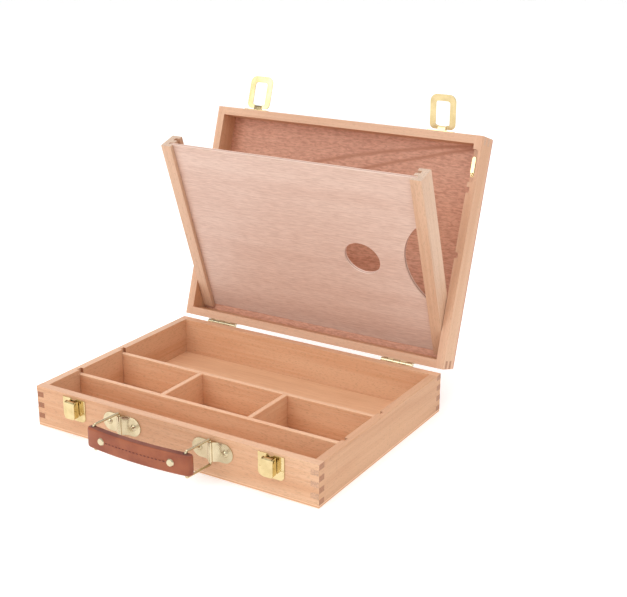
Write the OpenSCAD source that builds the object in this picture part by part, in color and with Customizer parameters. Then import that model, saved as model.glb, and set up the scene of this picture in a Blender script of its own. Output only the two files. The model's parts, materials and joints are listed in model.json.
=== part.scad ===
// Pochade box: finger-jointed wooden sketch box with a fold-out palette carrier in its lid.
// Millimetres. Origin at the centre of the base's underside, +X right seen from the front, +Y back, +Z up.

/* [Box] */
// Outside width of the box
box_width = 340; // [300:1:380]
// Outside depth of the box
box_depth = 250; // [220:1:280]
// Thickness of the solid boards
board_t = 9; // [8:0.5:11]
// Height of the base with its bottom panel
base_height = 44; // [38:1:56]
// Thickness of the base's bottom panel
bottom_t = 3; // [3:0.5:5]
// Height of the lid with its panel
lid_height = 29; // [28:1:34]
// Thickness of the lid's panel
lid_panel_t = 4; // [3:0.5:5]
// Gap between the closed rims
rim_gap = 0.4; // [0.2:0.1:0.8]
// Angle of the lid when it is open
open_angle = 108; // [95:1:115]

/* [Dividers] */
// Thickness of the dividers
divider_t = 5.5; // [4:0.5:6]
// How far the dividers' tops lie below the rim
divider_drop = 5; // [3:0.5:8]
// Y of the front long divider
divider_front_y = -67; // [-80:1:-55]
// Y of the rear long divider
divider_rear_y = 3; // [-10:1:15]
// Depth of the grooves in the side boards
groove_depth = 3.5; // [2.5:0.5:5]
// Width of the grooves in the side boards
groove_w = 6; // [5:0.5:7]

/* [Hinges] */
// Distance of the butt hinges' middles from the box's sides
hinge_inset = 54; // [45:1:70]
// Length of a hinge
hinge_w = 38; // [30:1:50]
// Radius of the knuckles
knuckle_r = 2.5; // [2.2:0.1:2.7]
// Radius of the hinge pin
hinge_pin_r = 1; // [0.8:0.1:1.2]
// Thickness of the leaves
leaf_t = 1; // [0.8:0.1:1.2]

/* [Palette carrier] */
// Thickness of a rail across the box
rail_w = 13; // [11:0.5:15]
// Forward tilt of the carrier from the lid when it is open
tilt = 37; // [30:1:40]
// Height of the pivot up the lid from the hinge axis
pivot_up = 45; // [43:0.5:50]
// Depth of the pivot behind the lid's rim
pivot_depth = 13; // [12.5:0.1:13.5]
// Length of a rail above its pivot
rail_up = 191; // [175:1:192]
// Length of a rail below its pivot
rail_down = 30; // [24:1:30]
// Thickness of the palette
palette_t = 4; // [3:0.1:4.1]
// X of the thumb hole
thumb_x = 74; // [60:1:85]
// Height of the thumb hole above the carrier's pivot
thumb_u = 80; // [70:1:90]

/* [Catches] */
// Distance of the draw catches' middles from the box's sides
catch_inset = 51; // [42:1:62]
// Length of a catch ring from its axis
ring_reach = 36; // [32:1:37]
// Lean of the left ring from square to the lid's front
ring_lean_left = 0; // [-10:1:10]
// Lean of the right ring from square to the lid's front
ring_lean_right = 18; // [0:1:20]

/* [Handle] */
// X of the middle between the two handle brackets
handle_x = -2; // [-4:1:4]
// Half the distance between the handle brackets
bracket_half = 55; // [48:1:62]
// Radius of the bail wire
wire_r = 1.3; // [1:0.1:1.5]
// Length of a bail from its pivot to the handle
bail_arm = 34; // [28:1:38]
// Swing of the bails to the left of straight forward
bail_swing = 5; // [0:1:20]
// Height of the leather handle
strap_h = 21; // [16:1:22]
// Thickness of the leather handle
strap_t = 9; // [8:0.5:10]
// Half the length of the leather handle
strap_half = 62; // [60:0.5:66]

/* [Turn button] */
// Distance of the turn button's screw from the lid's front
button_drop = 41.8; // [36:0.1:48]
// Distance of the turn button's screw from the lid's inside
button_inset = 3; // [2.8:0.1:3.4]

/* [Hidden] */
$fn = 48;
hw = box_width / 2;
hd = box_depth / 2;
hi = hw - board_t;
di = hd - board_t;
hinge_y = hd + 2.8;
rim_z = base_height + rim_gap;
hinge_z = base_height + rim_gap / 2;
lid_top = rim_z + lid_height;
lid_in = lid_top - lid_panel_t;
cross_x = hi / 3;
hinge_x = hw - hinge_inset;
leaf_reach = 13;
leaf_hole_x = 11;
leaf_hole_z = 8;
stop_reach = 2.9;
catch_x = hw - catch_inset;
button_x = hi + button_inset;
base_n = 7;
lid_n = 5;
hair = 0.05;
front = -hd;
catch_z = 37;
catch_y = front - 5;
shell_out = 8.2;
ring_z = rim_z + 6.5;
ring_y = front - 4.2;
ring_band = 7;
bail_y = front - 4;
bail_z = 28.5;
bail_h = 26.4;
bend_r = 2;
plate_r = 10;
lobe_dx = 13.5;
screw_dx = 15;
channel_low = bail_z - plate_r;
channel_high = bail_z + plate_r;
strap_shift = 0.7;
strap_rise = 1.2;
rivet_rise = 0.6;
strap_y = bail_y - bail_arm * cos(bail_swing);
strap_x = handle_x - bail_arm * sin(bail_swing);
bow = 4.5;
rivet_x = 41;
palette_half = hi - 0.5 - rail_w + 5;
slot_v = [-6.9, 2.4];
slot_w = 4.4;
slot_d = 5.5;
slot_bottom = -21;
rail_front = -11.4;
rail_back = 11.6;
arc_r = 61.2;
arc_x = palette_half + 34.2;
arc_u = 86.3;
crank = 2.8;
button_up = hinge_y + hd - button_drop;
pocket_low = button_up - 8;
pocket_high = button_up + 27;

module beech() color([0.87, 0.66, 0.50]) children();
module ply() color([0.84, 0.68, 0.58]) children();
module red_ply() color([0.72, 0.50, 0.41]) children();
module brass() color([0.88, 0.76, 0.45]) children();
module leather() color([0.62, 0.35, 0.25]) children();

module block(x0, x1, y0, y1, z0, z1)
  translate([min(x0, x1), min(y0, y1), min(z0, z1)]) cube([abs(x1 - x0), abs(y1 - y0), abs(z1 - z0)]);

module both() for (s = [-1, 1]) scale([s, 1, 1]) children();

module open_lid()
  translate([0, hinge_y, hinge_z]) rotate([-open_angle, 0, 0]) translate([0, -hinge_y, -hinge_z]) children();

// Finger k of n over z0 to z1 at a corner: sy picks the front or back wall, side -1 or 1 the wall across.
module fingers(z0, z1, n, odd, s, sy, grow = 0)
  for (k = [odd : 2 : n - 1])
    block(s * hi, s * (hw + grow), sy * di, sy * (hd + grow),
      z1 - (k + 1) * (z1 - z0) / n, z1 - k * (z1 - z0) / n);

module end_board(sy, z0, z1, n, odd)
  difference() {
    block(-hw, hw, sy * di, sy * hd, z0, z1);
    for (s = [-1, 1]) fingers(z0, z1, n, odd, s, sy, 1);
  }

module side_board(s, z0, z1, n, odd)
  difference() {
    union() {
      block(s * hi, s * hw, -di, di, z0, z1);
      for (sy = [-1, 1]) fingers(z0, z1, n, odd, s, sy);
    }
    for (y = [divider_front_y, divider_rear_y])
      block(s * (hi - 1), s * (hi + groove_depth), y - groove_w / 2, y + groove_w / 2, z0 - 1, z1 + 1);
  }

// A countersunk wood screw, head at z = 0 and shank down -Z.
module csk_screw(head_r, shank_r, length, cone)
  difference() {
    union() {
      translate([0, 0, -cone]) cylinder(h = cone, r1 = shank_r, r2 = head_r);
      translate([0, 0, -length]) cylinder(h = length - cone, r = shank_r);
    }
    translate([-head_r, -0.25, -0.4]) cube([2 * head_r, 0.5, 1]);
  }

module csk_hole(head_r, shank_r, length, cone)
  union() {
    translate([0, 0, -cone]) cylinder(h = cone, r1 = shank_r, r2 = head_r);
    translate([0, 0, -length]) cylinder(h = length - cone, r = shank_r);
    cylinder(h = 1, r = head_r);
  }

// A round-head screw, seat at z = 0, dome up +Z and shank down.
module dome_screw(head_r, head_h, shank_r, length)
  difference() {
    union() {
      rotate_extrude() intersection() {
        translate([0, head_h - dome_r(head_r, head_h)]) circle(r = dome_r(head_r, head_h));
        square([head_r, head_h]);
      }
      translate([0, 0, -length]) cylinder(h = length + 0.2, r = shank_r);
    }
    translate([-head_r, -0.3, head_h - 0.6]) cube([2 * head_r, 0.6, 1]);
  }
function dome_r(r, h) = (r * r + h * h) / (2 * h);

// Positions of the hinge-leaf screws: up = 1 for the lid's leaves, -1 for the base's.
// +Z of the children points out of the back face.
module leaf_screws(up) for (hx = [-hinge_x, hinge_x], dx = [-leaf_hole_x, leaf_hole_x])
  translate([hx + dx, hd + leaf_t, hinge_z + up * leaf_hole_z]) rotate([-90, 0, 0]) children();

// A stretch of leaf on the back face, from a distance near the seam to the leaf's far edge.
module leaf_plate(x0, x1, near, up)
  block(x0, x1, hd, hd + leaf_t, hinge_z + min(up * near, up * leaf_reach),
    hinge_z + max(up * near, up * leaf_reach));

// One half of each hinge. first = 0 takes the three outer knuckles, 1 the two between.
module leaves(first, up, bore, stop)
  for (hx = [-hinge_x, hinge_x]) {
    pitch = hinge_w / 5;
    difference() {
      union() {
        leaf_plate(hx - hinge_w / 2, hx + hinge_w / 2, knuckle_r + 0.5, up);
        for (k = [first : 2 : 4]) {
          x0 = hx - hinge_w / 2 + k * pitch + 0.15;
          leaf_plate(x0, x0 + pitch - 0.3, 0, up);
          translate([x0, hinge_y, hinge_z]) rotate([0, 90, 0]) cylinder(h = pitch - 0.3, r = knuckle_r);
          if (stop && k == 2) translate([x0, hinge_y, hinge_z]) rotate([0, 90, 0]) rotate([0, 0, 90])
            linear_extrude(pitch - 0.3)
              polygon(concat([[0, 0]], [for (a = [20, 38, 56]) stop_reach * [cos(a), sin(a)]]));
        }
      }
      translate([hx - hinge_w, hinge_y, hinge_z]) rotate([0, 90, 0]) cylinder(h = 2 * hinge_w, r = bore);
    }
  }

module base_front_board() beech() difference() {
  end_board(-1, bottom_t, base_height, base_n, 1);
  plate_screws() csk_hole(2, 1, 7, 0.9);
  bracket_holes() translate([0, 0, -7]) cylinder(h = 8, r = 1.4);
}

module base_back_board() beech() difference() {
  end_board(1, bottom_t, base_height, base_n, 1);
  leaf_screws(-1) csk_hole(2.2, 1, 8, 0.9);
}

module base_left_board() beech() side_board(-1, bottom_t, base_height, base_n, 1);
module base_right_board() beech() side_board(1, bottom_t, base_height, base_n, 1);
module base_bottom_panel() ply() block(-hw, hw, -hd, hd, 0, bottom_t);

module long_divider(y, inner)
  difference() {
    block(-hi - groove_depth, hi + groove_depth, y - divider_t / 2, y + divider_t / 2, bottom_t,
      base_height - divider_drop);
    for (x = [-cross_x, cross_x])
      block(x - divider_t / 2, x + divider_t / 2, y + inner * (divider_t / 2 - 1.5), y + inner * divider_t,
        bottom_t - 1, base_height);
  }
module long_divider_front() beech() long_divider(divider_front_y, 1);
module long_divider_rear() beech() long_divider(divider_rear_y, -1);
module cross_divider(x)
  block(x - divider_t / 2, x + divider_t / 2, divider_front_y + divider_t / 2 - 1.5,
    divider_rear_y - divider_t / 2 + 1.5, bottom_t, base_height - divider_drop);
module cross_divider_left() beech() cross_divider(-cross_x);
module cross_divider_right() beech() cross_divider(cross_x);

module base_hinge_leaves() brass() difference() {
  leaves(0, -1, hinge_pin_r, true);
  leaf_screws(-1) csk_hole(2.2, 1, 8, 0.9);
}
module hinge_pins() brass() for (hx = [-hinge_x, hinge_x])
  translate([hx - hinge_w / 2 + 0.15, hinge_y, hinge_z]) rotate([0, 90, 0])
    cylinder(h = hinge_w - 0.3, r = hinge_pin_r);
module base_hinge_screws() brass() leaf_screws(-1) csk_screw(2.2, 1, 8, 0.9);

// Frame on the front face: x and z as in the box, +Z of the children points out of the face.
module on_front(x, z, out = 0) translate([x, front - out, z]) rotate([90, 0, 0]) children();

module plate_screws() for (cx = [-catch_x, catch_x], dx = [-11.7, 11.7])
  on_front(cx + dx, 27.5, 0.9) children();

module latch_plate(cx) brass() difference() {
  union() {
    on_front(cx, 0) linear_extrude(0.9) difference() {
      union() {
        translate([-14.5, 22.5]) square([29, 19]);
        translate([-9.5, 17.5]) square([19, 6]);
        for (s = [-1, 1]) translate([9.5 * s, 22.5]) circle(r = 5);
      }
      translate([0, 43.5]) circle(r = 4);
    }
    for (s = [-1, 1]) translate([cx + s * 5.05 - 0.35, 0, 0]) rotate([90, 0, 90])
      linear_extrude(0.7) union() {
      translate([catch_y, catch_z]) circle(r = 2);
      translate([catch_y, catch_z - 1.9]) square([front - 0.5 - catch_y, 3.8]);
    }
  }
  translate([cx - 8, catch_y, catch_z]) rotate([0, 90, 0]) cylinder(h = 16, r = 1);
  plate_screws() csk_hole(2, 1, 7, 0.9);
}
module latch_plate_left() latch_plate(-catch_x);
module latch_plate_right() latch_plate(catch_x);

module latch_pins() brass() for (cx = [-catch_x, catch_x])
  translate([cx, catch_y, catch_z]) rotate([0, 90, 0]) union() {
    cylinder(h = 14.4, r = 1, center = true);
    for (s = [-1, 1]) translate([0, 0, s * 7]) cylinder(h = 0.5, r = 1.6, center = true);
  }
module latch_plate_screws() brass() plate_screws() csk_screw(2, 1, 7, 0.9);

// The lever is a bent channel: an outer shell with a roof, slotted for the plate's ears, and two side walls
// that carry the pin. The walls' lower ends bear on the ring's band, which lies behind the shell's lip.
wall_foot = ring_z - ring_reach + ring_band + 0.6;
module latch_lever(cx) brass() difference() {
  intersection() {
    translate([cx - 6.5, front, 0]) rotate([90, 0, 90]) linear_extrude(13) polygon([
      [-1.6, 35.4], [-2.6, 38.8], [-4, 39.9], [-6.4, 39.9], [-7.7, 38.8], [-shell_out, 36.6],
      [-shell_out, wall_foot - 0.2], [0.4 - shell_out, wall_foot - 1.3], [1.2 - shell_out, wall_foot - 1.3],
      [1.2 - shell_out, wall_foot], [-2.2, wall_foot], [-1.6, wall_foot + 1.6]]);
    on_front(cx, wall_foot + 1.7) linear_extrude(30, center = true) union() {
      translate([-7, 0]) square([14, 20]);
      for (s = [-1, 1]) translate([s * 3.5, 0]) circle(r = 3);
      translate([-3.5, -3.5]) square([7, 4]);
    }
  }
  block(cx - 5.6, cx + 5.6, front, front - shell_out + 0.8, wall_foot - 2, catch_z + 2.1);
  for (s = [-1, 1])
    block(cx + s * 4.5, cx + s * 5.6, front, front - shell_out + 0.8, wall_foot - 2, catch_z + 4);
  translate([cx - 8, catch_y, catch_z]) rotate([0, 90, 0]) cylinder(h = 16, r = 1.05);
}
module latch_lever_left() latch_lever(-catch_x);
module latch_lever_right() latch_lever(catch_x);

module bracket_holes()
  for (bx = [handle_x - bracket_half, handle_x + bracket_half], dx = [-screw_dx, screw_dx])
    on_front(bx + dx, bail_z) children();

module handle_bracket(bx) brass() difference() {
  union() {
    on_front(bx, bail_z) linear_extrude(1) union() {
      for (s = [-1, 1]) translate([s * lobe_dx, 0]) circle(r = plate_r);
      square([2 * lobe_dx, 2 * plate_r], center = true);
    }
    translate([bx, bail_y, channel_low]) cylinder(h = channel_high - channel_low, r = 2.4);
    translate([bx, 0, channel_low]) linear_extrude(channel_high - channel_low)
      polygon([[-2.4, bail_y], [2.4, bail_y], [7.4, front - 1], [7.4, front], [-7.4, front],
        [-7.4, front - 1]]);
  }
  translate([bx, bail_y, channel_low - 1]) cylinder(h = channel_high - channel_low + 2, r = wire_r + 0.08);
  bracket_holes() translate([0, 0, -7]) cylinder(h = 9, r = 1.4);
}
module handle_bracket_left() handle_bracket(handle_x - bracket_half);
module handle_bracket_right() handle_bracket(handle_x + bracket_half);
module bracket_screws() brass() bracket_holes() translate([0, 0, 1]) dome_screw(3.4, 2, 1.4, 7.5);

// A closed wire loop standing in a vertical plane, one leg on the pivot, the other in the handle.
module bail(bx) brass() translate([bx, bail_y, bail_z]) rotate([0, 0, -90 - bail_swing]) {
  for (x = [0, bail_arm])
    translate([x, 0, -bail_h / 2 + bend_r]) cylinder(h = bail_h - 2 * bend_r, r = wire_r);
  for (s = [-1, 1]) translate([bend_r, 0, s * bail_h / 2]) rotate([0, 90, 0])
    cylinder(h = bail_arm - 2 * bend_r, r = wire_r);
  for (x = [bend_r, bail_arm - bend_r], s = [-1, 1])
    translate([x, 0, s * (bail_h / 2 - bend_r)]) rotate([90, 0, 0])
      rotate([0, 0, x < bail_arm / 2 ? (s > 0 ? 90 : 180) : (s > 0 ? 0 : 270)])
        rotate_extrude(angle = 90) translate([bend_r, 0]) circle(r = wire_r);
}
module bail_left() bail(handle_x - bracket_half);
module bail_right() bail(handle_x + bracket_half);

// The handle seen from above: a strap bowed away from the box, folded back round each bail.
function bow_y(x) = -bow * (1 - pow(min(1, abs(x) / strap_half), 2));
function bow_slope(x) = atan(2 * bow * x / pow(strap_half, 2));
function strap_side(half, r, steps = 24) =
  [for (k = [0 : steps]) let (x = (2 * k / steps - 1) * half) [x, bow_y(x) + r]];
module bowed(half, t) let (back = strap_side(half, t / 2))
  polygon(concat(strap_side(half, -t / 2), [for (k = [len(back) - 1 : -1 : 0]) back[k]]));
function strap_end(x, r, from) = [for (a = [from : 20 : from + 160]) [x + r * cos(a), bow_y(x) + r * sin(a)]];
module strap_outline(inset) {
  r = strap_t / 2 - inset;
  half = strap_half - strap_t / 2;
  back = strap_side(half, r);
  polygon(concat(strap_side(half, -r), strap_end(half, r, -80),
    [for (k = [len(back) - 1 : -1 : 0]) back[k]], strap_end(-half, r, 100)));
}
module at_strap() translate([strap_x + strap_shift, strap_y, bail_z + strap_rise]) children();
module at_rivets() for (s = [-1, 1]) translate([s * rivet_x, bow_y(rivet_x), rivet_rise])
  rotate([0, 0, s * bow_slope(rivet_x)]) rotate([90, 0, 0]) children();
module handle_strap() leather() at_strap() difference() {
  union() {
    translate([0, 0, -strap_h / 2 + 1]) linear_extrude(strap_h - 2) strap_outline(0);
    translate([0, 0, -strap_h / 2]) linear_extrude(strap_h) strap_outline(1);
  }
  translate([0, 0, -strap_h / 2 - 1]) linear_extrude(strap_h + 2) union() {
    for (s = [-1, 1]) translate([s * bracket_half - strap_shift, 0]) circle(r = wire_r + 0.2);
    bowed(rivet_x + 5, 3);
  }
  at_rivets() cylinder(h = 20, r = 1.5 + hair, center = true);
}
module handle_core() leather() at_strap() difference() {
  translate([0, 0, -strap_h / 2 + 1.5]) linear_extrude(strap_h - 3) bowed(rivet_x + 5, 3);
  at_rivets() cylinder(h = 20, r = 1.5 + hair, center = true);
}
module handle_rivets() brass() at_strap() at_rivets() union() {
  cylinder(h = strap_t + 0.8, r = 1.5, center = true);
  for (e = [0, 1])
    rotate([0, 180 * e, 0]) translate([0, 0, strap_t / 2 + hair]) cylinder(h = 1.1, r1 = 4, r2 = 3.2);
}

module lid_front_board() beech() open_lid() difference() {
  end_board(-1, rim_z, lid_in, lid_n, 0);
  ring_screws() csk_hole(2, 1, 7, 0.9);
}
module lid_back_board() beech() open_lid() difference() {
  end_board(1, rim_z, lid_in, lid_n, 0);
  leaf_screws(1) csk_hole(2.2, 1, 8, 0.9);
}
module pivot_pins(r) both() translate([hi - 7, hinge_y - pivot_up, rim_z + pivot_depth]) rotate([0, 90, 0])
  cylinder(h = 13, r = r);
module lid_side(s) difference() {
  side_board(s, rim_z, lid_in, lid_n, 0);
  pivot_pins(1.75);
}
module lid_left_board() beech() open_lid() lid_side(-1);
module lid_right_board() beech() open_lid() difference() {
  lid_side(1);
  translate([0, 0, rim_z - 1]) linear_extrude(5) hull()
    for (u = [pocket_low + 3, pocket_high - 3]) translate([button_x, hinge_y - u]) circle(r = 3);
  block(hi - 1, button_x, hinge_y - pocket_high, hinge_y - pocket_low, rim_z - 1, rim_z + 4);
  translate([button_x, hinge_y - button_up, rim_z]) cylinder(h = 14, r = 1);
}
module lid_panel() red_ply() open_lid() block(-hw, hw, -hd, hd, lid_in, lid_top);

module lid_hinge_leaves() brass() open_lid() difference() {
  leaves(1, 1, hinge_pin_r + hair, false);
  leaf_screws(1) csk_hole(2.2, 1, 8, 0.9);
}
module lid_hinge_screws() brass() open_lid() leaf_screws(1) csk_screw(2.2, 1, 8, 0.9);

module ring_screws() for (cx = [-catch_x, catch_x], dx = [-10.5, 10.5])
  on_front(cx + dx, ring_z + 9.5, 0.9) children();

module ring_plate(cx) brass() open_lid() difference() {
  union() {
    on_front(cx, rim_z) linear_extrude(0.9) hull() {
      translate([-15, 1]) square([30, 4]);
      for (s = [-1, 1]) translate([11 * s, ring_z - rim_z + 10]) circle(r = 4);
    }
    translate([cx - 4.5, 0, 0]) rotate([90, 0, 90]) linear_extrude(9) hull() {
      translate([ring_y, ring_z]) circle(r = 2.1);
      translate([front - 0.5, ring_z - 2.6]) square([0.5, 5.2]);
    }
  }
  translate([cx - 8, ring_y, ring_z]) rotate([0, 90, 0]) cylinder(h = 16, r = 1.2 + hair);
  ring_screws() csk_hole(2, 1, 7, 0.9);
}
module ring_plate_left() ring_plate(-catch_x);
module ring_plate_right() ring_plate(catch_x);
module ring_plate_screws() brass() open_lid() ring_screws() csk_screw(2, 1, 7, 0.9);

// The ring stands square to the lid's front at lean 0, and leans towards the rim with lean.
module catch_ring(cx, lean) brass() open_lid() translate([cx, ring_y, ring_z]) rotate([lean, 0, 0]) union() {
  translate([0, 0, -0.7]) linear_extrude(1.4) difference() {
    union() {
      hull() for (s = [-1, 1]) {
        translate([s * 7, 8 - ring_reach]) circle(r = 8);
        translate([s * 9.5, -4.2]) circle(r = 5.5);
      }
    }
    translate([-4.9, -3]) square([9.8, 6]);
    hull() for (s = [-1, 1]) {
      translate([s * 5.3, ring_band + 3 - ring_reach]) circle(r = 3);
      translate([s * 6.8, -4.4]) circle(r = 1.5);
    }
  }
  rotate([0, 90, 0]) cylinder(h = 10.4, r = 1.2, center = true);
}
module catch_ring_left() catch_ring(-catch_x, ring_lean_left);
module catch_ring_right() catch_ring(catch_x, ring_lean_right);

// Carrier frame: +X across, +Y from the palette's face to the lid's panel, +Z up the rail, at the pivot.
module on_carrier() open_lid() translate([0, hinge_y - pivot_up, rim_z + pivot_depth])
  rotate([tilt, 0, 0]) rotate([90, 0, 0]) children();

// The foot's back runs on an arc about the pivot that just clears the lid's panel, then on the bevel that
// lies against the panel when the carrier is out.
foot_r = lid_in - rim_z - pivot_depth - hair;
foot_start = acos(rail_back / foot_r);
module rail(s) on_carrier() difference() {
  translate([s * (hi - 0.5 - rail_w / 2) - rail_w / 2, 0, 0]) rotate([90, 0, 90]) linear_extrude(rail_w)
    polygon(concat([[rail_front, -rail_down], [rail_front, rail_up], [rail_back, rail_up]],
      [for (k = [0 : 6]) let (a = foot_start + (tilt - foot_start) * k / 6) foot_r * [cos(a), -sin(a)]],
      [[(foot_r - rail_down * sin(tilt)) / cos(tilt), -rail_down]]));
  for (v = slot_v)
    block(s * (hi - 1.5 - rail_w), s * (hi - 0.5 - rail_w + slot_d), v, v + slot_w, slot_bottom, rail_up + 1);
  translate([s * (hi - 1), 0, 0]) rotate([0, 90, 0]) cylinder(h = 13, r = 1.75 + hair, center = true);
}
module rail_left() beech() rail(-1);
module rail_right() beech() rail(1);
module rail_pivot_pins() brass() open_lid() pivot_pins(1.75);

// Between the rails the palette reaches below the grooves' ends, with its lower edge bevelled to lie against
// the lid's panel when the carrier is out.
palette_v = slot_v[0] + 0.2;
palette_low = -28;
function panel_v(u) = (foot_r - 0.1 + u * sin(tilt)) / cos(tilt);
function panel_u(v) = (v * cos(tilt) - foot_r + 0.1) / sin(tilt);
module palette() ply() on_carrier() difference() {
  union() {
    block(-palette_half, palette_half, palette_v, palette_v + palette_t, slot_bottom, rail_up - 0.5);
    translate([0.8 + rail_w - hi, 0, 0]) rotate([90, 0, 90]) linear_extrude(2 * (hi - rail_w - 0.8))
      polygon([[palette_v, slot_bottom + 1], [palette_v, palette_low], [panel_v(palette_low), palette_low],
        [palette_v + palette_t, panel_u(palette_v + palette_t)], [palette_v + palette_t, slot_bottom + 1]]);
  }
  translate([thumb_x, 0, thumb_u]) rotate([90, 0, 0]) rotate([0, 0, -12]) scale([21.5, 19, 1])
    cylinder(h = 40, r = 1, center = true);
  translate([arc_x, 0, arc_u]) rotate([90, 0, 0]) cylinder(h = 40, r = arc_r, center = true, $fn = 96);
}

// The turn button lies in its pocket pointing up the lid; its arm is cranked forward of the rail.
module turn_button() brass() open_lid() translate([button_x, hinge_y - button_up, rim_z]) difference() {
  union() {
    translate([0, 0, 3.2]) cylinder(h = 0.8, r = 2.3);
    translate([-2, -crank, 3.2]) cube([4, crank, 0.8]);
    translate([-2, -crank, 0.6]) cube([4, 0.8, 3.4]);
    hull() {
      translate([-2, -crank, 0.6]) cube([4, 0.8, 0.7]);
      translate([0, -17, 0.6]) cylinder(h = 0.7, r = 2);
    }
  }
  translate([0, 0, 2]) cylinder(h = 3, r = 1.05);
}
module turn_button_screw() brass() open_lid() translate([button_x, hinge_y - button_up, rim_z + 3.15])
  rotate([180, 0, 0]) dome_screw(1.9, 1.3, 1, 9);

base_front_board();
base_back_board();
base_left_board();
base_right_board();
base_bottom_panel();
long_divider_front();
long_divider_rear();
cross_divider_left();
cross_divider_right();
base_hinge_leaves();
hinge_pins();
base_hinge_screws();
latch_plate_left();
latch_plate_right();
latch_pins();
latch_plate_screws();
latch_lever_left();
latch_lever_right();
handle_bracket_left();
handle_bracket_right();
bracket_screws();
bail_left();
bail_right();
handle_strap();
handle_core();
handle_rivets();
lid_front_board();
lid_back_board();
lid_left_board();
lid_right_board();
lid_panel();
lid_hinge_leaves();
lid_hinge_screws();
ring_plate_left();
ring_plate_right();
ring_plate_screws();
catch_ring_left();
catch_ring_right();
rail_left();
rail_right();
rail_pivot_pins();
palette();
turn_button();
turn_button_screw();
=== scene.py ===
"""Looks of the pochade box: softened boards, plywood panels, brass fittings and a stitched leather handle."""

import json
import math

import bmesh
import bpy
from mathutils import Matrix, Vector

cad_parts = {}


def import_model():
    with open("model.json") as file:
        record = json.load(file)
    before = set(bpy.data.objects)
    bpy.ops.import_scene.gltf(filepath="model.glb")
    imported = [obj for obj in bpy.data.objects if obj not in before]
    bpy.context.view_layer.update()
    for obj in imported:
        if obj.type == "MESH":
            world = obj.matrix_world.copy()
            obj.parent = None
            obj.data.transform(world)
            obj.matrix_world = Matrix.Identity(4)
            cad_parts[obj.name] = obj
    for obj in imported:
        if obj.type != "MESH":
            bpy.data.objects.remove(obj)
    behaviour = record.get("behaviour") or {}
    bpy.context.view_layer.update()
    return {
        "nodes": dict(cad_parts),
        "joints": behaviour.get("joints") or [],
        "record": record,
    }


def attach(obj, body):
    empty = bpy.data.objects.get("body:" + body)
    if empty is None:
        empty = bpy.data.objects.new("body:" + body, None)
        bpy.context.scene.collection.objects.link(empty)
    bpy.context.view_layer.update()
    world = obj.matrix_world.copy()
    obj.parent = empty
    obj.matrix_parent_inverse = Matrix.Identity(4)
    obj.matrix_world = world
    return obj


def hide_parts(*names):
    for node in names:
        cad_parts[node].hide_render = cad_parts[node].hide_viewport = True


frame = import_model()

MM = 0.001
NODES = frame["nodes"]
BODY_OF = {n: b for b, ns in frame["record"]["behaviour"]["bodies"].items() for n in ns}
JOINT = {j["name"]: j for j in frame["joints"]}

# At rest the lid stands fully open and the carrier is tilted fully out of it.
LID_OPEN = math.radians(JOINT["lid_hinge"]["range_deg"][1])
CARRIER_TILT = math.radians(-JOINT["carrier_tilt"]["range_deg"][0])
ALONG_X = Vector((1, 0, 0))
ALONG_Y = Vector((0, 1, 0))
UP = Vector((0, 0, 1))


def turned(angle):
    """Up the closed lid (-Y), turned about X by this angle, and the direction behind it."""
    up = Vector((0, -math.cos(angle), -math.sin(angle)))
    return up, ALONG_X.cross(up) * -1


LID_UP, LID_BEHIND = turned(-LID_OPEN)
RAIL_UP, RAIL_BEHIND = turned(CARRIER_TILT - LID_OPEN)

HANDLE_PIVOT = Vector(JOINT["handle_pivot"]["pos_m"])
BAIL_GAP = JOINT["bail_right_swing"]["pos_m"][0] - JOINT["bail_left_swing"]["pos_m"][0]
STRAP_SHIFT = 0.7 * MM
STRAP_RISE = 1.2 * MM
STRAP_HALF = 62 * MM
STRAP_T = 9 * MM
STRAP_H = 21 * MM
BOW = 4.5 * MM
RIVET_RISE = 0.6 * MM


# Shader helpers


def srgb(text):
    """A hex colour as linear RGBA."""
    def linear(c):
        return c / 12.92 if c <= 0.04045 else ((c + 0.055) / 1.055) ** 2.4

    return tuple(linear(int(text[i : i + 2], 16) / 255) for i in (0, 2, 4)) + (1.0,)


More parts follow.
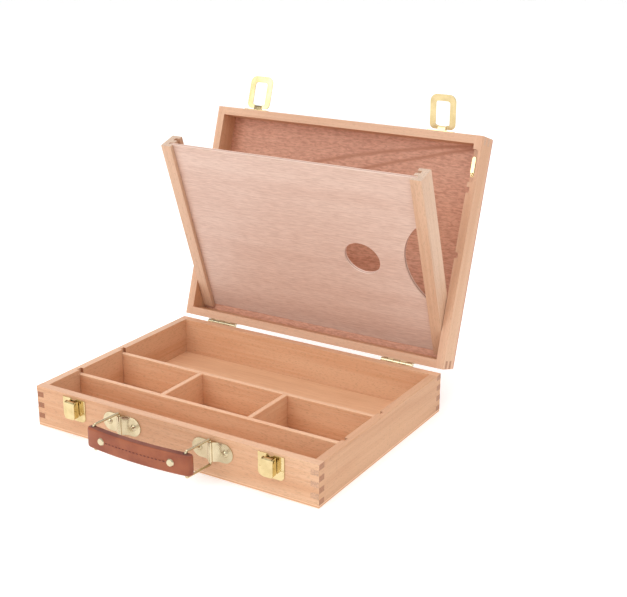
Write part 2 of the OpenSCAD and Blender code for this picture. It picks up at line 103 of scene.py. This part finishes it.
class Shader:
    """Small helper that adds and wires the nodes of one material."""

    def __init__(self, name):
        self.mat = bpy.data.materials.new(name)
        self.mat.use_nodes = True
        self.tree = self.mat.node_tree
        self.bsdf = self.tree.nodes["Principled BSDF"]

    def put(self, socket, value):
        if isinstance(value, bpy.types.NodeSocket):
            self.tree.links.new(value, socket)
        else:
            socket.default_value = value

    def node(self, kind, out=0, props=(), **inputs):
        n = self.tree.nodes.new(kind)
        for key, value in dict(props).items():
            setattr(n, key, value)
        for key, value in inputs.items():
            self.put(n.inputs[key.replace("_", " ")], value)
        return n.outputs[out]

    def math(self, operation, a, b=0.0, clamp=False):
        n = self.tree.nodes.new("ShaderNodeMath")
        n.operation, n.use_clamp = operation, clamp
        self.put(n.inputs[0], a)
        self.put(n.inputs[1], b)
        return n.outputs[0]

    def vmath(self, operation, a, b, out=0):
        n = self.tree.nodes.new("ShaderNodeVectorMath")
        n.operation = operation
        self.put(n.inputs[0], a)
        self.put(n.inputs[1], b)
        return n.outputs[out]

    def dot(self, a, axis):
        return self.vmath("DOT_PRODUCT", a, tuple(axis), 1)

    def xyz(self, x, y, z):
        return self.node("ShaderNodeCombineXYZ", X=x, Y=y, Z=z)

    def stretched(self, axes, repeats):
        """The point whose coordinates are the axes times their repeats per metre."""
        return self.xyz(*(self.math("MULTIPLY", axis, repeat) for axis, repeat in zip(axes, repeats)))

    def noise(self, vector, scale=1.0, detail=2.0, rough=0.5, distortion=0.0):
        return self.node("ShaderNodeTexNoise", Vector=vector, Scale=scale, Detail=detail, Roughness=rough,
                         Distortion=distortion)

    def ramp(self, value, low, high, from_value=0.0, to_value=1.0):
        return self.node("ShaderNodeMapRange", props={"interpolation_type": "SMOOTHSTEP"}, Value=value,
                         From_Min=low, From_Max=high, To_Min=from_value, To_Max=to_value)

    def mix(self, factor, a, b, blend="MIX"):
        n = self.tree.nodes.new("ShaderNodeMix")
        n.data_type, n.blend_type = "RGBA", blend
        self.put(n.inputs[0], factor)
        self.put(n.inputs[6], a)
        self.put(n.inputs[7], b)
        return n.outputs[2]

    def coords(self, grain, across):
        """Position in the piece's own frame as (along the grain, across it, through it), in metres."""
        p = self.node("ShaderNodeTexCoord", out=3)
        through = grain.cross(across)
        return [self.dot(p, v) for v in (grain, across, through)]

    def own_normal(self, axis):
        n = self.node("ShaderNodeTexCoord", out=1)
        return self.math("ABSOLUTE", self.dot(n, axis))

    def bump(self, height, strength, distance):
        self.put(self.bsdf.inputs["Normal"],
                 self.node("ShaderNodeBump", Height=height, Strength=strength, Distance=distance))


# Repeats per metre of each wood pattern: along the grain, across it and through the board.
WOOD_BROAD = (3.0, 28.0, 28.0)
WOOD_LINES = (9.0, 420.0, 420.0)
WOOD_FLECKS = (240.0, 1700.0, 1700.0)
WOOD_PORES = (900.0, 900.0, 900.0)
# Painted highlight: the pale tone laid on the boards' top edges, standing in for the light they catch.
RIM_HIGHLIGHT = srgb("E2BFAE")


def darker(colour, factor):
    return tuple(c * factor for c in colour[:3]) + (1,)


def wood(name, grain, across, light, dark, end, offset=0.0, rim=None):
    """Fine-grained wood: long streaks, short flecks, speckled end grain, and a painted highlight that pales
    the faces turned along the rim axis.
    """
    look = Shader(name)
    u, v, w = look.coords(grain, across)
    axes = (look.math("ADD", u, offset), v, w)
    broad = look.noise(look.stretched(axes, WOOD_BROAD), detail=3.0, distortion=0.6)
    lines = look.noise(look.stretched(axes, WOOD_LINES), detail=3.0, rough=0.6)
    dashes = look.noise(look.stretched(axes, WOOD_FLECKS), detail=1.0)
    pores = look.noise(look.stretched(axes, WOOD_PORES))
    streak = look.math("ADD", look.math("MULTIPLY", broad, 0.62), look.math("MULTIPLY", lines, 0.38))
    fleck = look.math("MULTIPLY", look.ramp(dashes, 0.57, 0.68), 0.4)
    colour = look.mix(look.ramp(streak, 0.36, 0.66), light, dark)
    colour = look.mix(fleck, colour, darker(dark, 0.62))
    # Painted highlight: faces turned along rim (the boards' top edges) are mixed towards the pale rim tone.
    if rim:
        colour = look.mix(look.ramp(look.own_normal(rim), 0.8, 0.97, 0.0, 0.2), colour, RIM_HIGHLIGHT)
    end_colour = look.mix(look.ramp(pores, 0.35, 0.65), end, darker(end, 0.72))
    at_end = look.ramp(look.own_normal(grain), 0.75, 0.95)
    look.put(look.bsdf.inputs["Base Color"], look.mix(at_end, colour, end_colour))
    look.put(look.bsdf.inputs["Roughness"], look.math("ADD", look.math("MULTIPLY", lines, 0.16), 0.42))
    look.put(look.bsdf.inputs["Specular IOR Level"], 0.42)
    look.put(look.bsdf.inputs["Coat Weight"], 0.12)
    look.put(look.bsdf.inputs["Coat Roughness"], 0.32)
    relief = look.math("ADD", look.math("MULTIPLY", lines, 0.5), look.math("MULTIPLY", fleck, -1.2))
    look.bump(relief, 0.22, 0.2 * MM)
    return look.mat


# Repeats per metre of each veneer pattern: along the grain and across it.
PLY_DRIFT = (5.0, 7.0)
PLY_BROAD = (2.0, 38.0)
PLY_LINES = (22.0, 620.0)
PLY_PORES = (110.0, 1700.0)
DEFAULT_FIGURE = (30, 420)
DRIFT_STEP = 8 * MM
VEIN = srgb("B2704C")


def vein(look, u, v, drift, line):
    """How strongly a point lies on a bowed line of the figure, from 0 to 1."""
    u0, v0, slope, bow, width = line
    du = look.math("SUBTRACT", u, u0)
    straight = look.math("MULTIPLY", du, slope)
    bent = look.math("MULTIPLY", look.math("MULTIPLY", du, du), bow)
    fall = look.math("SUBTRACT", v0, look.math("SUBTRACT", straight, bent))
    centre = look.math("ADD", fall, look.math("MULTIPLY", drift, 12 * MM))
    return look.ramp(look.math("ABSOLUTE", look.math("SUBTRACT", v, centre)), width, 0.0)


def plywood(name, grain, face, plane, ply, light, dark, streak, bend=0.6, flecks=0.15,
            figure=DEFAULT_FIGURE, veins=()):
    """A veneered panel: grained faces with flecks and veins, and pale and dark plies along its edges."""
    look = Shader(name)
    u, v, w = look.coords(grain, face.cross(grain))
    drift = look.noise(look.stretched((u, v, 0.0), PLY_DRIFT + (1,)), detail=2.0)
    bent = look.math("ADD", v, look.math("MULTIPLY", drift, bend * DRIFT_STEP))
    broad = look.noise(look.stretched((u, bent, 0.0), PLY_BROAD + (1,)), detail=4.0, rough=0.6)
    lines = look.noise(look.stretched((u, bent, 0.0), PLY_LINES + (1,)), detail=4.0, rough=0.7)
    ripple = look.noise(look.stretched((u, bent, 0.0), figure + (1,)), detail=2.0, rough=0.6, distortion=0.5)
    pores = look.noise(look.stretched((u, v, 0.0), PLY_PORES + (1,)), detail=1.0)
    tone = look.math("ADD", look.math("MULTIPLY", broad, 0.5), look.math("MULTIPLY", lines, 0.5))
    sheen = tuple(min(1.0, c * 1.25) for c in light[:3]) + (1,)
    colour = look.mix(look.ramp(tone, 0.36, 0.64), light, dark)
    colour = look.mix(look.math("MULTIPLY", look.ramp(ripple, 0.45, 0.66), flecks), colour, streak)
    colour = look.mix(look.math("MULTIPLY", look.ramp(ripple, 0.50, 0.32), flecks * 0.7), colour, sheen)
    colour = look.mix(look.math("MULTIPLY", look.ramp(pores, 0.60, 0.72), 0.30), colour, streak)
    for line in veins:
        colour = look.mix(look.math("MULTIPLY", vein(look, u, v, drift, line), 0.75), colour, VEIN)
    plies = look.math("FRACT", look.math("MULTIPLY", look.math("ADD", w, -plane), 1.5 / ply))
    edge = look.mix(look.ramp(plies, 0.42, 0.58), light, streak)
    at_face = look.ramp(look.own_normal(face), 0.6, 0.9)
    look.put(look.bsdf.inputs["Base Color"], look.mix(at_face, edge, colour))
    look.put(look.bsdf.inputs["Roughness"], look.math("ADD", look.math("MULTIPLY", lines, 0.15), 0.42))
    look.put(look.bsdf.inputs["Coat Weight"], 0.10)
    look.put(look.bsdf.inputs["Coat Roughness"], 0.35)
    look.bump(look.math("ADD", lines, look.math("MULTIPLY", ripple, 0.6)), 0.18, 0.2 * MM)
    return look.mat


def metal(name, colour, tint, rough):
    """Plated brass: a slightly uneven polish with fine rubbing marks, and painted shade that darkens the
    colour in hollows and crevices.
    """
    look = Shader(name)
    place = look.node("ShaderNodeTexCoord", out=3)
    smudge = look.noise(place, scale=90.0, detail=2.0)
    marks = look.noise(place, scale=900.0, detail=2.0)
    # Painted shade: ambient occlusion darkens the base colour in hollows and gaps, standing in for their
    # shade.
    occlusion_shade = look.node("ShaderNodeAmbientOcclusion", out=1, Distance=1.2 * MM)
    base = look.mix(look.ramp(smudge, 0.35, 0.7), colour, tint)
    painted_shade = look.ramp(occlusion_shade, 0.65, 0.15, 0.0, 0.55)
    look.put(look.bsdf.inputs["Base Color"], look.mix(painted_shade, base, darker(tint, 0.35)))
    look.put(look.bsdf.inputs["Metallic"], 1.0)
    look.put(look.bsdf.inputs["Roughness"], look.ramp(smudge, 0.3, 0.75, rough, rough + 0.04))
    look.bump(marks, 0.012, 0.1 * MM)
    return look.mat


def hide(name, colour, dark):
    """Smooth leather with fine pores and creases."""
    look = Shader(name)
    place = look.node("ShaderNodeTexCoord", out=3)
    cells = look.node("ShaderNodeTexVoronoi", Vector=place, Scale=1100.0)
    cloud = look.noise(place, scale=60.0, detail=4.0)
    fine = look.noise(place, scale=2400.0, detail=2.0)
    look.put(look.bsdf.inputs["Base Color"], look.mix(look.ramp(cloud, 0.32, 0.72), colour, dark))
    look.put(look.bsdf.inputs["Roughness"], look.ramp(cloud, 0.3, 0.7, 0.40, 0.55))
    look.put(look.bsdf.inputs["Specular IOR Level"], 0.45)
    relief = look.math("ADD", look.math("MULTIPLY", cells, 0.8), look.math("MULTIPLY", fine, 0.5))
    look.bump(relief, 0.25, 0.2 * MM)
    return look.mat


def thread(name, colour, dark):
    """Twisted waxed thread."""
    look = Shader(name)
    place = look.node("ShaderNodeTexCoord", out=3)
    twist = look.node("ShaderNodeTexWave", out=1, props={"bands_direction": "DIAGONAL"}, Vector=place,
                      Scale=900.0)
    look.put(look.bsdf.inputs["Base Color"], look.mix(twist, colour, dark))
    look.put(look.bsdf.inputs["Roughness"], 0.6)
    look.bump(twist, 0.4, 0.1 * MM)
    return look.mat


# Tones of the wood, light and dark, and of its end grain
TONES = dict(light=srgb("DDB18D"), dark=srgb("CF9A73"))
# A lighter copy of the beech tones: painted light for the back board and dividers inside the tray, which the
# open box keeps in shade.
INNER_TONES = dict(light=srgb("E8BD98"), dark=srgb("DCA67E"))
# A darker copy of the beech tones: painted shade for the right board, the side turned away from the key
# light.
SHADED_TONES = dict(light=srgb("D3A27A"), dark=srgb("C48F67"))
BEECH = dict(TONES, end=srgb("B57A54"))
LIT_INNER = dict(INNER_TONES, end=srgb("B57A54"))
FAINT_ENDS = dict(TONES, end=srgb("D3A585"))
SHADED_SIDE_BOARD = dict(SHADED_TONES, end=srgb("D3A585"))
DARK_ENDS = dict(TONES, end=srgb("A86C4A"))
PALE_BEECH = dict(light=srgb("DAB598"), dark=srgb("CDA284"), end=srgb("D6B8A1"))
BOARD_MATERIALS = {
    "base_front_board": wood("beech_base_front", ALONG_X, ALONG_Y, offset=0.3, rim=UP, **BEECH),
    "base_back_board": wood("beech_base_back", ALONG_X, ALONG_Y, offset=1.7, rim=UP, **LIT_INNER),
    "base_left_board": wood("beech_base_left", ALONG_Y, ALONG_X, offset=2.9, rim=UP, **DARK_ENDS),
    "base_right_board": wood("beech_base_right", ALONG_Y, ALONG_X, offset=4.1, rim=UP, **SHADED_SIDE_BOARD),
    "long_divider_front": wood("beech_divider_front", ALONG_X, ALONG_Y, offset=5.2, rim=UP, **LIT_INNER),
    "long_divider_rear": wood("beech_divider_rear", ALONG_X, ALONG_Y, offset=6.6, rim=UP, **LIT_INNER),
    "cross_divider_left": wood("beech_cross_left", ALONG_Y, ALONG_X, offset=7.4, rim=UP, **LIT_INNER),
    "cross_divider_right": wood("beech_cross_right", ALONG_Y, ALONG_X, offset=8.8, rim=UP, **LIT_INNER),
    "lid_front_board": wood("beech_lid_front", ALONG_X, LID_UP, offset=9.3, rim=LID_BEHIND, **FAINT_ENDS),
    "lid_back_board": wood("beech_lid_back", ALONG_X, LID_UP, offset=10.9, rim=LID_BEHIND, **BEECH),
    "lid_left_board": wood("beech_lid_left", LID_UP, ALONG_X, offset=11.2, rim=LID_BEHIND, **BEECH),
    "lid_right_board": wood("beech_lid_right", LID_UP, ALONG_X, offset=12.5, rim=LID_BEHIND, **FAINT_ENDS),
    "rail_left": wood("beech_rail_left", RAIL_UP, ALONG_X, offset=13.6, **PALE_BEECH),
    "rail_right": wood("beech_rail_right", RAIL_UP, ALONG_X, offset=14.4, **PALE_BEECH),
}


def plane_of(node, normal):
    """How far along normal the node's lowest corner lies."""
    return min(v.co.dot(normal) for v in NODES[node].data.vertices)


HINGE = Vector(JOINT["lid_hinge"]["pos_m"])
VEIN_WIDTH = 3.5 * MM


def lid_vein(x, up, slope, bow):
    """A dark vein of the lid's panel that rises to the right, in millimetres from the hinge."""
    return x * MM, -(up * MM + HINGE.dot(LID_UP)), slope, bow / MM, VEIN_WIDTH


PLY_MATERIALS = {
    "base_bottom_panel": plywood("ply_floor", ALONG_X, UP, plane_of("base_bottom_panel", UP), 3 * MM,
                                 srgb("ECC09B"), srgb("DEAD86"), srgb("CC9A73")),
    "lid_panel": plywood("ply_lid", ALONG_X, LID_BEHIND, plane_of("lid_panel", LID_BEHIND), 4 * MM,
                         srgb("DFA98D"), srgb("D09478"), srgb("A96A50"), bend=1.5, flecks=0.45,
                         figure=(140, 480),
                         veins=(lid_vein(-47, 207, 0.33, 0.0006), lid_vein(9, 206.7, 0.33, 0.0004))),
    "palette": plywood("ply_palette", ALONG_X, RAIL_BEHIND, plane_of("palette", RAIL_BEHIND), 4 * MM,
                       srgb("DEC3B4"), srgb("D2B1A1"), srgb("B28B7A"), bend=1.5, flecks=0.3,
                       figure=(70, 900)),
}
BRASS = metal("brass_polished", srgb("DCC797"), srgb("D0B987"), 0.12)
PALE_BRASS = metal("brass_pale", srgb("D3C5A4"), srgb("C8B896"), 0.16)
LEATHER = hide("leather_tan", srgb("9A522F"), srgb("864228"))
CUT_LEATHER = hide("leather_cut_edge", srgb("7E4029"), srgb("683020"))
DARK_LEATHER = hide("leather_punched", srgb("4A2218"), srgb("33160F"))
THREAD = thread("thread_red", srgb("6E2A20"), srgb("4E1A15"))


# Boards and panels


def give(obj, material):
    obj.data.materials.clear()
    obj.data.materials.append(material)


def clean_copy(node):
    """The node's solid as one welded mesh with its flat faces whole."""
    bm = bmesh.new()
    bm.from_mesh(NODES[node].data)
    bmesh.ops.remove_doubles(bm, verts=bm.verts, dist=2e-6)
    bmesh.ops.dissolve_limit(bm, angle_limit=math.radians(1), verts=bm.verts, edges=bm.edges)
    return bm


SHARP = math.radians(35)
ON_PLANE = 0.05 * MM
BEVEL_SEGMENTS = 3


def softened(node, material, outer, inner, shell):
    """Stands for a node: its edges on the shell's corners get the outer width, all others the inner one."""
    bm = clean_copy(node)
    weight = bm.edges.layers.float.new("bevel_weight_edge")
    for e in bm.edges:
        if len(e.link_faces) != 2 or e.calc_face_angle(0) < SHARP:
            continue
        on_shell = sum(all(abs(v.co.dot(n) - d) < ON_PLANE for v in e.verts) for n, d in shell)
        e[weight] = 1.0 if on_shell >= 2 else inner / outer
    mesh = bpy.data.meshes.new(node + "_look")
    bm.to_mesh(mesh)
    bm.free()
    mesh.shade_smooth()
    piece = bpy.data.objects.new(node + "_look", mesh)
    bpy.context.scene.collection.objects.link(piece)
    give(piece, material)
    bevel = piece.modifiers.new("edges", "BEVEL")
    bevel.limit_method = "WEIGHT"
    bevel.width = outer
    bevel.segments = BEVEL_SEGMENTS
    bevel.use_clamp_overlap = True
    piece.modifiers.new("flat_faces", "WEIGHTED_NORMAL")
    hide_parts(node)
    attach(piece, BODY_OF[node])
    return piece


def shell_of(nodes, axes):
    """The planes that bound a group of nodes, as (normal, distance)."""
    planes = []
    for a in axes:
        far = [v.co.dot(a) for n in nodes for v in NODES[n].data.vertices]
        planes += [(a, min(far)), (a, max(far))]
    return planes


BASE_WOOD = [n for n in BOARD_MATERIALS if n.startswith("base_")] + ["base_bottom_panel"]
LID_WOOD = [n for n in BOARD_MATERIALS if n.startswith("lid_")] + ["lid_panel"]
BASE_AXES = (ALONG_X, ALONG_Y, UP)
LID_AXES = (ALONG_X, LID_UP, LID_BEHIND)
CARRIER_AXES = (ALONG_X, RAIL_UP, RAIL_BEHIND)
BASE_SHELL = shell_of(BASE_WOOD, BASE_AXES)
LID_SHELL = shell_of(LID_WOOD, LID_AXES)

OUTER_EDGE = 0.7 * MM
BROKEN_EDGE = 0.12 * MM

for node, material in {**BOARD_MATERIALS, **PLY_MATERIALS}.items():
    if node in LID_WOOD:
        shell = LID_SHELL
    elif node in BASE_WOOD:
        shell = BASE_SHELL
    else:
        shell = shell_of([node], BASE_AXES if BODY_OF[node] == "base" else CARRIER_AXES)
    softened(node, material, OUTER_EDGE, BROKEN_EDGE, shell)


# Metal

PALE_NODES = ("handle_bracket", "bracket_screws", "bail", "handle_rivets", "hinge_", "base_hinge",
              "lid_hinge")
RING_EDGE = 0.65 * MM
STAMPED_EDGE = 0.25 * MM
METAL_EDGES = {"catch_ring": RING_EDGE, "latch_lever": STAMPED_EDGE, "latch_plate": STAMPED_EDGE,
               "handle_bracket": STAMPED_EDGE, "ring_plate": STAMPED_EDGE}
ROUNDED_METAL = {f"{name}_{side}": edge for name, edge in METAL_EDGES.items() for side in ("left", "right")}

for node, obj in NODES.items():
    if node in BOARD_MATERIALS or node in PLY_MATERIALS or node.startswith("handle_strap"):
        continue
    metal_look = PALE_BRASS if node.startswith(PALE_NODES) else BRASS
    if node in ROUNDED_METAL:
        softened(node, metal_look, ROUNDED_METAL[node], ROUNDED_METAL[node], [])
    else:
        give(obj, LEATHER if node == "handle_core" else metal_look)


# Handle


def at_handle(x, y, z):
    """A point of the handle: x from its middle to the right, y away from the box, z up."""
    return HANDLE_PIVOT + Vector((BAIL_GAP / 2 + STRAP_SHIFT + x, -y, STRAP_RISE + z))


def bow_at(x):
    return BOW * (1 - min(1, abs(x) / STRAP_HALF) ** 2)


def skin(rings, capped=True):
    """The vertices and faces of a tube through rings of equally many points."""
    n = len(rings[0])
    verts = [point for ring in rings for point in ring]
    faces = [(i * n + j, i * n + (j + 1) % n, (i + 1) * n + (j + 1) % n, (i + 1) * n + j)
             for i in range(len(rings) - 1) for j in range(n)]
    if capped:
        faces += [tuple(range(n)), tuple(range((len(rings) - 1) * n, len(rings) * n))]
    return verts, faces


def mesh_piece(name, verts, faces, material, body, slot):
    mesh = bpy.data.meshes.new(name)
    mesh.from_pydata([tuple(v) for v in verts], [], faces)
    mesh.validate()
    bm = bmesh.new()
    bm.from_mesh(mesh)
    bmesh.ops.recalc_face_normals(bm, faces=bm.faces)
    bm.to_mesh(mesh)
    bm.free()
    mesh.shade_smooth()
    piece = bpy.data.objects.new(name, mesh)
    bpy.context.scene.collection.objects.link(piece)
    give(piece, material)
    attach(piece, body)
    return piece


def rounded(half_w, half_h, r, steps=5):
    """A rounded rectangle as points, anticlockwise."""
    points = []
    for cx, cy, start in ((1, 1, 0), (-1, 1, 90), (-1, -1, 180), (1, -1, 270)):
        for k in range(steps + 1):
            a = math.radians(start + 90 * k / steps)
            points.append((cx * (half_w - r) + r * math.cos(a), cy * (half_h - r) + r * math.sin(a)))
    return points


STRAP_STATIONS = 44
EVEN_SHARE = 0.8
STRAP_ROUNDING = 2.2 * MM
CUT_EDGE_NORMAL = 0.93


def strap():
    """The handle's leather: a crowned bar whose ends thin out to rounded tips."""
    half = STRAP_HALF
    rings = []
    for k in range(STRAP_STATIONS + 1):
        t = -1 + 2 * k / STRAP_STATIONS
        # Stations lie evenly along the middle and closer together towards the ends.
        if abs(t) > EVEN_SHARE:
            x = half * math.sin(t * math.pi / 2)
        else:
            x = half * t * math.sin(EVEN_SHARE * math.pi / 2) / EVEN_SHARE
        end = max(0.0, (abs(x) - (half - STRAP_T / 2)) / (STRAP_T / 2))
        round_end = math.sqrt(max(0.02, 1 - end * end))
        thick = STRAP_T / 2 * round_end
        tall = STRAP_H / 2 * (1 - 0.10 * end * end)
        outline = rounded(thick, tall, min(STRAP_ROUNDING, thick * 0.9))
        rings.append([at_handle(x, bow_at(x) + a, b) for a, b in outline])
    piece = mesh_piece("handle_leather", *skin(rings), LEATHER, "handle", "leather")
    piece.data.materials.append(CUT_LEATHER)
    for face in piece.data.polygons:
        if abs(face.normal.z) > CUT_EDGE_NORMAL:
            face.material_index = 1
    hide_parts("handle_strap")


strap()

STITCHES = 17
STITCH_PITCH = 4.3 * MM
STITCH_LENGTH = 3.1 * MM
THREAD_R = 0.42 * MM
STITCH_STEPS = 6
THREAD_SIDES = 8


def stitch(name, x, face):
    """One stitch: a short thread that rises out of the leather and dips back in."""
    rings = []
    for k in range(STITCH_STEPS + 1):
        t = k / STITCH_STEPS
        px = x + (t - 0.5) * STITCH_LENGTH
        rise = (math.sin(math.pi * t) * 0.9 - 0.45) * THREAD_R
        out = bow_at(px) + face * (STRAP_T / 2 + rise)
        fat = THREAD_R * (0.55 + 0.45 * math.sin(math.pi * t))
        rings.append([at_handle(px, out + fat * math.cos(a), RIVET_RISE + fat * math.sin(a))
                      for a in (2 * math.pi * j / THREAD_SIDES for j in range(THREAD_SIDES))])
    mesh_piece(name, *skin(rings), THREAD, "handle", "leather")


# The pressed rim of a wire hole, from inside out: radius and height over the leather, in millimetres.
HOLE_PROFILE = ((1.2, -0.6), (1.75, -0.15), (2.1, 0.16), (2.5, 0.12), (2.8, -0.2))
HOLE_SIDES = 20


def wire_hole(name, x, side):
    """The dark punched hole that a bail's leg enters, with its pressed rim."""
    angles = [2 * math.pi * k / HOLE_SIDES for k in range(HOLE_SIDES)]
    rings = []
    for r, z in HOLE_PROFILE:
        height = side * (STRAP_H / 2 + z * MM)
        rings.append([at_handle(x + r * MM * math.cos(a), r * MM * math.sin(a), height) for a in angles])
    mesh_piece(name, *skin(rings, capped=False), DARK_LEATHER, "handle", "leather")


for i, x in enumerate((-BAIL_GAP / 2 - STRAP_SHIFT, BAIL_GAP / 2 - STRAP_SHIFT)):
    wire_hole(f"wire_hole_top_{i}", x, 1)
    wire_hole(f"wire_hole_low_{i}", x, -1)

for side in (1, -1):
    for i in range(STITCHES):
        x = (i - (STITCHES - 1) / 2) * STITCH_PITCH
        stitch(f"stitch_{'front' if side > 0 else 'back'}_{i:02d}", x, side)


# Camera, floor and light

CAMERA_AT = Vector((0.6587, -0.941, 0.5281))
CAMERA_LOOK = Vector((-0.4907, 0.8083, -0.3254))
CAMERA_RIGHT = Vector((0.8541, 0.5201, 0.0038))
FOCAL_PX = 1188.0
PHOTO_W = 627.0
SENSOR_MM = 36.0


def camera():
    cam = bpy.data.objects.new("camera", bpy.data.cameras.new("camera"))
    bpy.context.scene.collection.objects.link(cam)
    look = CAMERA_LOOK.normalized()
    right = (CAMERA_RIGHT - look * CAMERA_RIGHT.dot(look)).normalized()
    up = right.cross(look)
    cam.matrix_world = Matrix.Translation(CAMERA_AT) @ Matrix((right, up, -look)).transposed().to_4x4()
    cam.data.sensor_width = SENSOR_MM
    cam.data.lens = FOCAL_PX * SENSOR_MM / PHOTO_W
    cam.data.clip_start, cam.data.clip_end = 0.05, 20
    bpy.context.scene.camera = cam


WHITE = (1, 1, 1, 1)
FLOOR_HALF = 20.0
FLOOR_Z = -0.2 * MM


def floor():
    mesh = bpy.data.meshes.new("floor")
    corners = [(x * FLOOR_HALF, y * FLOOR_HALF, 0) for x, y in ((-1, -1), (1, -1), (1, 1), (-1, 1))]
    mesh.from_pydata(corners, [], [(0, 1, 2, 3)])
    obj = bpy.data.objects.new("floor", mesh)
    bpy.context.scene.collection.objects.link(obj)
    obj.location.z = FLOOR_Z
    look = Shader("floor_white")
    look.put(look.bsdf.inputs["Base Color"], (0.9, 0.9, 0.9, 1))
    look.put(look.bsdf.inputs["Roughness"], 0.9)
    look.put(look.bsdf.inputs["Emission Color"], WHITE)
    look.put(look.bsdf.inputs["Emission Strength"], 0.3)
    obj.data.materials.append(look.mat)


OBJECT_MIDDLE = Vector((0, 0, 0.1))


def area_light(name, at, size, power):
    """A square light that faces the object's middle."""
    light = bpy.data.lights.new(name, "AREA")
    light.shape, light.size, light.energy = "SQUARE", size, power
    obj = bpy.data.objects.new(name, light)
    bpy.context.scene.collection.objects.link(obj)
    obj.location = at
    obj.rotation_euler = (OBJECT_MIDDLE - Vector(at)).to_track_quat("-Z", "Y").to_euler()


# Heights on the unit sky at which the bands begin and are full
BANDS_START = 0.28
BANDS_FULL = 0.42


def world(low, high):
    """A pale room, plain round the horizon, with soft upright bands higher up for the metal to mirror."""
    w = bpy.data.worlds.new("studio")
    w.use_nodes = True
    tree = w.node_tree
    where = tree.nodes.new("ShaderNodeTexCoord")
    bands = tree.nodes.new("ShaderNodeTexWave")
    bands.bands_direction = "X"
    bands.inputs["Scale"].default_value = 1.1
    bands.inputs["Distortion"].default_value = 0.6
    spread = tree.nodes.new("ShaderNodeMapRange")
    spread.inputs["From Max"].default_value = 0.45
    spread.inputs["To Min"].default_value, spread.inputs["To Max"].default_value = low, high
    split = tree.nodes.new("ShaderNodeSeparateXYZ")
    climb = tree.nodes.new("ShaderNodeMapRange")
    climb.inputs["From Min"].default_value, climb.inputs["From Max"].default_value = BANDS_START, BANDS_FULL
    strength = tree.nodes.new("ShaderNodeMix")
    strength.inputs[2].default_value = high
    tree.links.new(where.outputs["Generated"], bands.inputs["Vector"])
    tree.links.new(where.outputs["Generated"], split.inputs[0])
    tree.links.new(bands.outputs["Fac"], spread.inputs["Value"])
    tree.links.new(split.outputs["Z"], climb.inputs["Value"])
    tree.links.new(climb.outputs[0], strength.inputs[0])
    tree.links.new(spread.outputs[0], strength.inputs[3])
    tree.links.new(strength.outputs[0], tree.nodes["Background"].inputs["Strength"])
    tree.nodes["Background"].inputs["Color"].default_value = WHITE
    bpy.context.scene.world = w


camera()
floor()
world(low=0.05, high=1.03)
area_light("key", (-0.7, -1.5, 1.1), size=1.2, power=9)
area_light("top", (0.1, 0.2, 2.2), size=1.6, power=20)
bpy.context.scene.view_settings.view_transform = "Standard"
